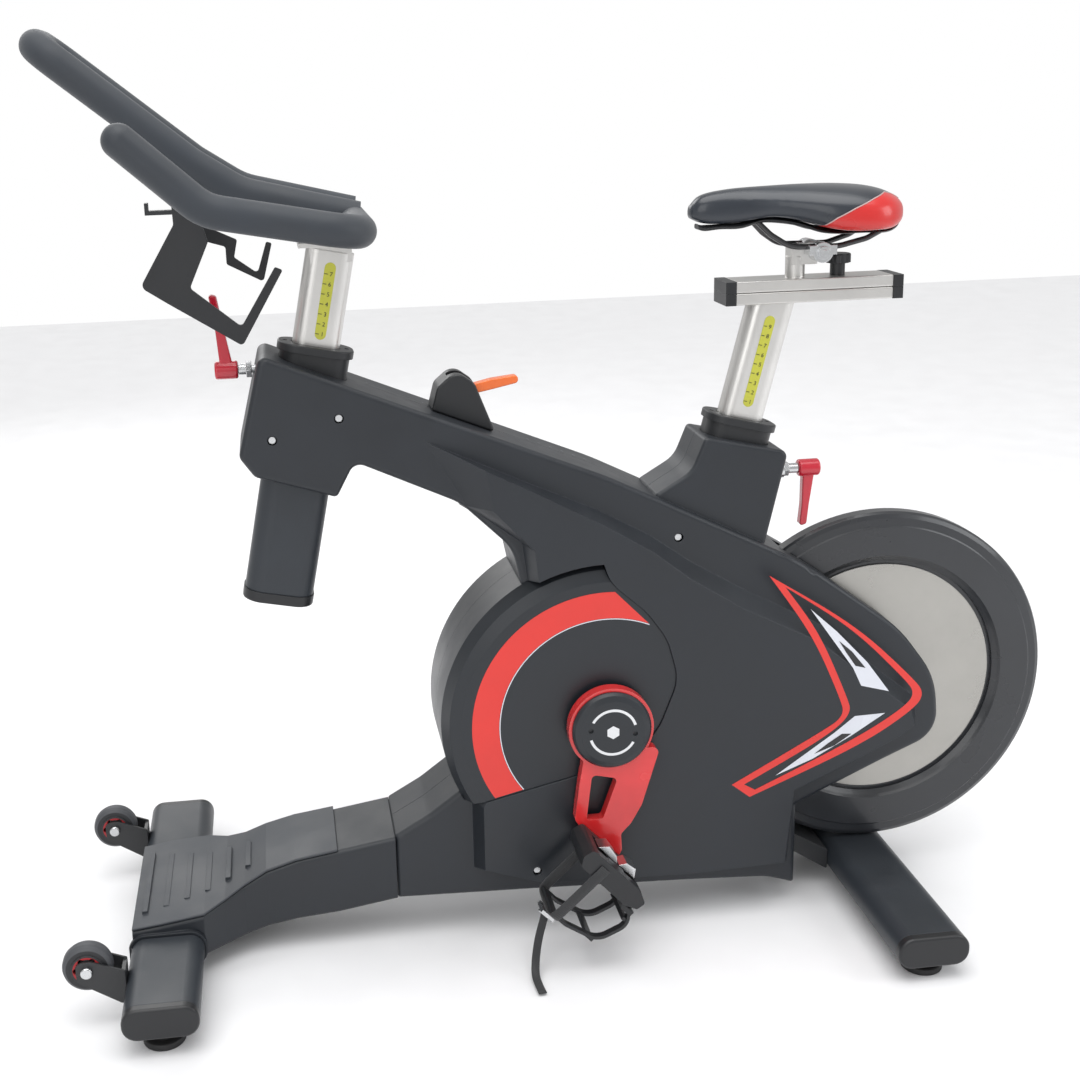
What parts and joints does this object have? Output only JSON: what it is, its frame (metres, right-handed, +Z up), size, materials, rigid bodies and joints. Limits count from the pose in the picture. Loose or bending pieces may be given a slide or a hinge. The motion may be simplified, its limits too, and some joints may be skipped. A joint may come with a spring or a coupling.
{
  "type": "indoor cycling bike",
  "caption": "Upright indoor training bike with a shrouded beam frame, rear flywheel, belt drive, red cranks with toe-cage pedals, adjustable saddle and looped handlebar.",
  "frame": {"origin": "on the floor under the middle of the bike's length and width", "axes": "+X to the rear wheel, +Y to the rider's right, +Z up"},
  "size_m": [1.343, 0.552, 1.193],
  "materials": {
    "black_plastic": "satin",
    "drum_plastic": "satin",
    "tread_plastic": "satin",
    "trim_plastic": "satin",
    "frame_steel": "semi-gloss powder coat",
    "slate_paint": "semi-gloss powder coat",
    "bar_coating": "soft matt dip coat",
    "post_aluminium": "satin anodised",
    "bright_steel": "bright zinc",
    "wheel_iron": "black enamel, machined edges",
    "disc_steel": "spun stainless",
    "crank_red": "gloss",
    "lever_red": "gloss",
    "brake_orange": "gloss",
    "strap_webbing": "woven webbing",
    "foot_rubber": "matt",
    "tyre_grey": "matt",
    "belt_rubber": "matt",
    "saddle_cover": "smooth coated leatherette",
    "saddle_shell": "satin"
  },
  "bodies": {
    "frame": {"frame_weldment": "frame_steel", "head_sleeve": "frame_steel", "head_sleeve_plug": "trim_plastic", "post_collars": "trim_plastic", "shroud_left": "black_plastic", "shroud_right": "black_plastic", "belt_cover_left": "drum_plastic", "belt_cover_right": "drum_plastic", "base_cover_front": "black_plastic", "tread_plate": "tread_plastic", "base_cover_rear": "black_plastic", "stabilizer_front": "slate_paint", "stabilizer_rear": "slate_paint", "stabilizer_caps": "trim_plastic", "cover_screws": "bright_steel", "bearings": "bright_steel", "drive_belt": "belt_rubber", "flywheel_axle": "bright_steel", "resistance_housing": "trim_plastic", "clamp_studs": "bright_steel", "wheel_brackets": "frame_steel", "wheel_bolts": "bright_steel"},
    "foot_fl": {"foot_front_left": "foot_rubber"},
    "foot_fr": {"foot_front_right": "foot_rubber"},
    "foot_rl": {"foot_rear_left": "foot_rubber"},
    "foot_rr": {"foot_rear_right": "foot_rubber"},
    "wheel_l": {"transport_wheel_left": "tyre_grey"},
    "wheel_r": {"transport_wheel_right": "tyre_grey"},
    "crankset": {"crank_spindle": "bright_steel", "drive_pulley": "trim_plastic", "crank_left": "crank_red", "crank_right": "crank_red", "crank_caps": "trim_plastic", "pedal_spindles": "bright_steel"},
    "pedal_l": {"pedal_body_left": "trim_plastic", "pedal_cage_left": "trim_plastic", "toe_strap_left": "strap_webbing"},
    "pedal_r": {"pedal_body_right": "trim_plastic", "pedal_cage_right": "trim_plastic", "toe_strap_right": "strap_webbing"},
    "flywheel_set": {"flywheel": "wheel_iron", "flywheel_discs": "disc_steel", "flywheel_pulley": "bright_steel"},
    "brake_carrier": {"magnet_carrier": "frame_steel"},
    "brake_arm": {"brake_lever": "brake_orange"},
    "handlebar_set": {"handlebar_post": "post_aluminium", "handlebar": "bar_coating", "accessory_holder": "trim_plastic"},
    "front_clamp": {"front_lever": "lever_red"},
    "rear_clamp": {"rear_lever": "lever_red"},
    "seat_post_set": {"seat_post": "post_aluminium", "slide_lower": "post_aluminium", "slide_caps_lower": "trim_plastic"},
    "seat_slide": {"slide_upper": "post_aluminium", "slide_caps_upper": "trim_plastic"},
    "knob": {"slide_knob": "trim_plastic"},
    "saddle": {"saddle_clamp": "bright_steel", "saddle_rails": "frame_steel", "saddle_base": "saddle_shell", "saddle_pad": "saddle_cover"}
  },
  "joints": [
    {"name": "flywheel_spin", "type": "hinge", "parent": "frame", "child": "flywheel_set", "pos_m": [0.429, 0, 0.303], "axis": [0, 1, 0], "continuous": true},
    {"name": "crank_spin", "type": "hinge", "parent": "frame", "child": "crankset", "pos_m": [0.032, 0, 0.304], "axis": [0, 1, 0], "continuous": true},
    {"name": "pedal_left_spin", "type": "hinge", "parent": "crankset", "child": "pedal_l", "pos_m": [0.01423, -0.155, 0.13493], "axis": [0, 1, 0], "continuous": true},
    {"name": "pedal_right_spin", "type": "hinge", "parent": "crankset", "child": "pedal_r", "pos_m": [0.04977, 0.155, 0.47307], "axis": [0, 1, 0], "continuous": true},
    {"name": "handlebar_height", "type": "slide", "parent": "frame", "child": "handlebar_set", "axis": [0.1994, 0, 0.9799], "range_m": [-0.05, 0.06]},
    {"name": "seat_height", "type": "slide", "parent": "frame", "child": "seat_post_set", "axis": [0.2504, 0, 0.9681], "range_m": [-0.1, 0.06]},
    {"name": "seat_fore_aft", "type": "slide", "parent": "seat_post_set", "child": "seat_slide", "axis": [1, 0, 0], "range_m": [-0.04, 0.04]},
    {"name": "saddle_tilt", "type": "hinge", "parent": "seat_slide", "child": "saddle", "pos_m": [0.326, 0, 0.8965], "axis": [0, 1, 0], "range_deg": [-10, 10]},
    {"name": "knob_turn", "type": "hinge", "parent": "seat_slide", "child": "knob", "pos_m": [0.358, 0, 0.875], "axis": [0, 0, 1], "range_deg": [-180, 180]},
    {"name": "front_lever_turn", "type": "hinge", "parent": "frame", "child": "front_clamp", "pos_m": [-0.43, 0, 0.78], "axis": [1, 0, 0], "range_deg": [-120, 0]},
    {"name": "rear_lever_turn", "type": "hinge", "parent": "frame", "child": "rear_clamp", "pos_m": [0.325, 0, 0.608], "axis": [1, 0, 0], "range_deg": [-100, 100]},
    {"name": "brake_lever_press", "type": "hinge", "parent": "frame", "child": "brake_arm", "pos_m": [-0.143, 0, 0.738], "axis": [0, 1, 0], "range_deg": [-25, 30]},
    {"name": "magnet_carrier_swing", "type": "hinge", "parent": "frame", "child": "brake_carrier", "pos_m": [0.245, 0, 0.498], "axis": [0, 1, 0], "range_deg": [-6.5, 5.5]},
    {"name": "transport_wheel_left_roll", "type": "hinge", "parent": "frame", "child": "wheel_l", "pos_m": [-0.644, -0.181, 0.079], "axis": [0, 1, 0], "continuous": true},
    {"name": "transport_wheel_right_roll", "type": "hinge", "parent": "frame", "child": "wheel_r", "pos_m": [-0.644, 0.181, 0.079], "axis": [0, 1, 0], "continuous": true},
    {"name": "foot_fl_turn", "type": "hinge", "parent": "frame", "child": "foot_fl", "pos_m": [-0.553, -0.232, 0.02], "axis": [0, 0, 1], "continuous": true},
    {"name": "foot_fr_turn", "type": "hinge", "parent": "frame", "child": "foot_fr", "pos_m": [-0.553, 0.232, 0.02], "axis": [0, 0, 1], "continuous": true},
    {"name": "foot_rl_turn", "type": "hinge", "parent": "frame", "child": "foot_rl", "pos_m": [0.408, -0.238, 0.02], "axis": [0, 0, 1], "continuous": true},
    {"name": "foot_rr_turn", "type": "hinge", "parent": "frame", "child": "foot_rr", "pos_m": [0.408, 0.238, 0.02], "axis": [0, 0, 1], "continuous": true}
  ],
  "couplings": [
    {"joint": "crank_spin", "follows": "flywheel_spin", "ratio": 0.29091},
    {"joint": "magnet_carrier_swing", "follows": "brake_lever_press", "ratio": -0.2}
  ]
}
